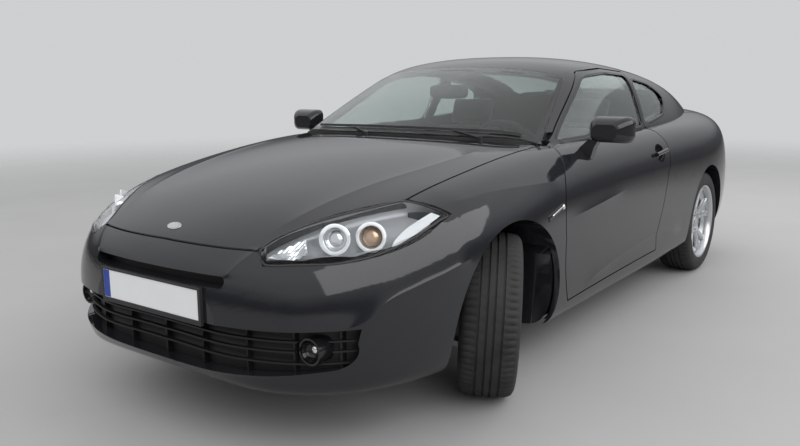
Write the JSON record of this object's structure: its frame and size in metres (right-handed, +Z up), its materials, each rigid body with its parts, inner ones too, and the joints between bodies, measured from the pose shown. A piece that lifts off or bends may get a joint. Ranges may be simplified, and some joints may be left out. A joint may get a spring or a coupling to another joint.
{
  "type": "two-door fastback coupe car",
  "caption": "black two-door fastback coupe with oval headlamps, a slotted lower grille and split-spoke alloy wheels",
  "frame": {"origin": "on the ground, in the middle of the car's length and width", "axes": "+X forward, +Y to the car's left, +Z up"},
  "size_m": [4.42, 1.9784, 1.3184],
  "materials": {
    "paint": "gloss black paint",
    "black_plastic": "grained black plastic",
    "window_glass": "tinted glass",
    "lamp_glass": "clear lamp cover",
    "lamp_chrome": "bright reflector",
    "tail_red": "red lamp plastic",
    "underbody": "dark sealed sheet",
    "alloy": "silver painted alloy",
    "tyre": "road tyre rubber",
    "steel": "bare steel",
    "cast": "cast iron",
    "seat_fabric": "dark woven cloth",
    "interior": "dark grained trim",
    "plate": "blank white plate",
    "wheel_leather": "black leather"
  },
  "bodies": {
    "car_body": {"floor_pan": "underbody", "bulkhead": "underbody", "front_frame": "underbody", "side_left": "paint", "side_right": "paint", "roof": "paint", "wing_left": "paint", "wing_right": "paint", "front_bumper": "paint", "rear_bumper": "paint", "grille": "black_plastic", "headlamps": "lamp_chrome", "headlamp_lenses": "lamp_glass", "fog_lamps": "black_plastic", "tail_lamps": "tail_red", "windscreen": "window_glass", "quarter_windows": "window_glass", "front_plate": "plate", "rear_plate": "plate", "wipers": "black_plastic", "dashboard": "interior", "console": "interior", "front_seats": "seat_fabric", "rear_seat": "seat_fabric", "engine": "cast", "exhaust": "steel", "front_suspension": "steel", "rear_suspension": "steel"},
    "door_left": {"door_left": "paint", "door_glass_left": "window_glass", "mirror_left": "paint"},
    "door_right": {"door_right": "paint", "door_glass_right": "window_glass", "mirror_right": "paint"},
    "bonnet": {"bonnet": "paint"},
    "tailgate": {"tailgate": "paint", "tailgate_glass": "window_glass"},
    "knuckle_left": {"knuckle_left": "cast"},
    "knuckle_right": {"knuckle_right": "cast"},
    "steering_wheel": {"steering_wheel": "wheel_leather"},
    "wheel_front_left": {"tyre_front_left": "tyre", "rim_front_left": "alloy"},
    "wheel_front_right": {"tyre_front_right": "tyre", "rim_front_right": "alloy"},
    "wheel_rear_left": {"tyre_rear_left": "tyre", "rim_rear_left": "alloy"},
    "wheel_rear_right": {"tyre_rear_right": "tyre", "rim_rear_right": "alloy"}
  },
  "joints": [
    {"name": "door_left_hinge", "type": "hinge", "parent": "car_body", "child": "door_left", "pos_m": [0.785, 0.853, 0.56], "axis": [0, 0, -1], "range_deg": [0, 65]},
    {"name": "door_right_hinge", "type": "hinge", "parent": "car_body", "child": "door_right", "pos_m": [0.785, -0.853, 0.56], "axis": [0, 0, 1], "range_deg": [0, 65]},
    {"name": "bonnet_hinge", "type": "hinge", "parent": "car_body", "child": "bonnet", "pos_m": [0.752, 0, 0.9], "axis": [0, -1, 0], "range_deg": [0, 45]},
    {"name": "tailgate_hinge", "type": "hinge", "parent": "car_body", "child": "tailgate", "pos_m": [-0.542, 0, 1.29018], "axis": [0, 1, 0], "range_deg": [0, 75]},
    {"name": "steer_left", "type": "hinge", "parent": "car_body", "child": "knuckle_left", "pos_m": [1.2575, 0.663, 0.31953], "axis": [-0.0518, -0.139, 0.9889], "range_deg": [-65, 5]},
    {"name": "steer_right", "type": "hinge", "parent": "car_body", "child": "knuckle_right", "pos_m": [1.2575, -0.663, 0.3125], "axis": [-0.0518, 0.139, 0.9889], "range_deg": [-65, 5]},
    {"name": "steering_wheel_turn", "type": "hinge", "parent": "car_body", "child": "steering_wheel", "pos_m": [0.415, 0.37, 0.828], "axis": [-0.9063, 0, 0.4226], "range_deg": [-975, 75]},
    {"name": "wheel_front_left_spin", "type": "hinge", "parent": "knuckle_left", "child": "wheel_front_left", "pos_m": [1.21703, 0.73423, 0.31589], "axis": [-0.4935, 0.8686, -0.0443], "continuous": true},
    {"name": "wheel_front_right_spin", "type": "hinge", "parent": "knuckle_right", "child": "wheel_front_right", "pos_m": [1.29813, -0.73423, 0.31312], "axis": [-0.4954, 0.8686, -0.0075], "continuous": true},
    {"name": "wheel_rear_left_spin", "type": "hinge", "parent": "car_body", "child": "wheel_rear_left", "pos_m": [-1.2725, 0.745, 0.3125], "axis": [0, 1, 0], "continuous": true},
    {"name": "wheel_rear_right_spin", "type": "hinge", "parent": "car_body", "child": "wheel_rear_right", "pos_m": [-1.2725, -0.745, 0.3125], "axis": [0, 1, 0], "continuous": true}
  ],
  "couplings": [
    {"joint": "steer_right", "follows": "steer_left", "ratio": 1},
    {"joint": "steering_wheel_turn", "follows": "steer_left", "ratio": 15}
  ]
}
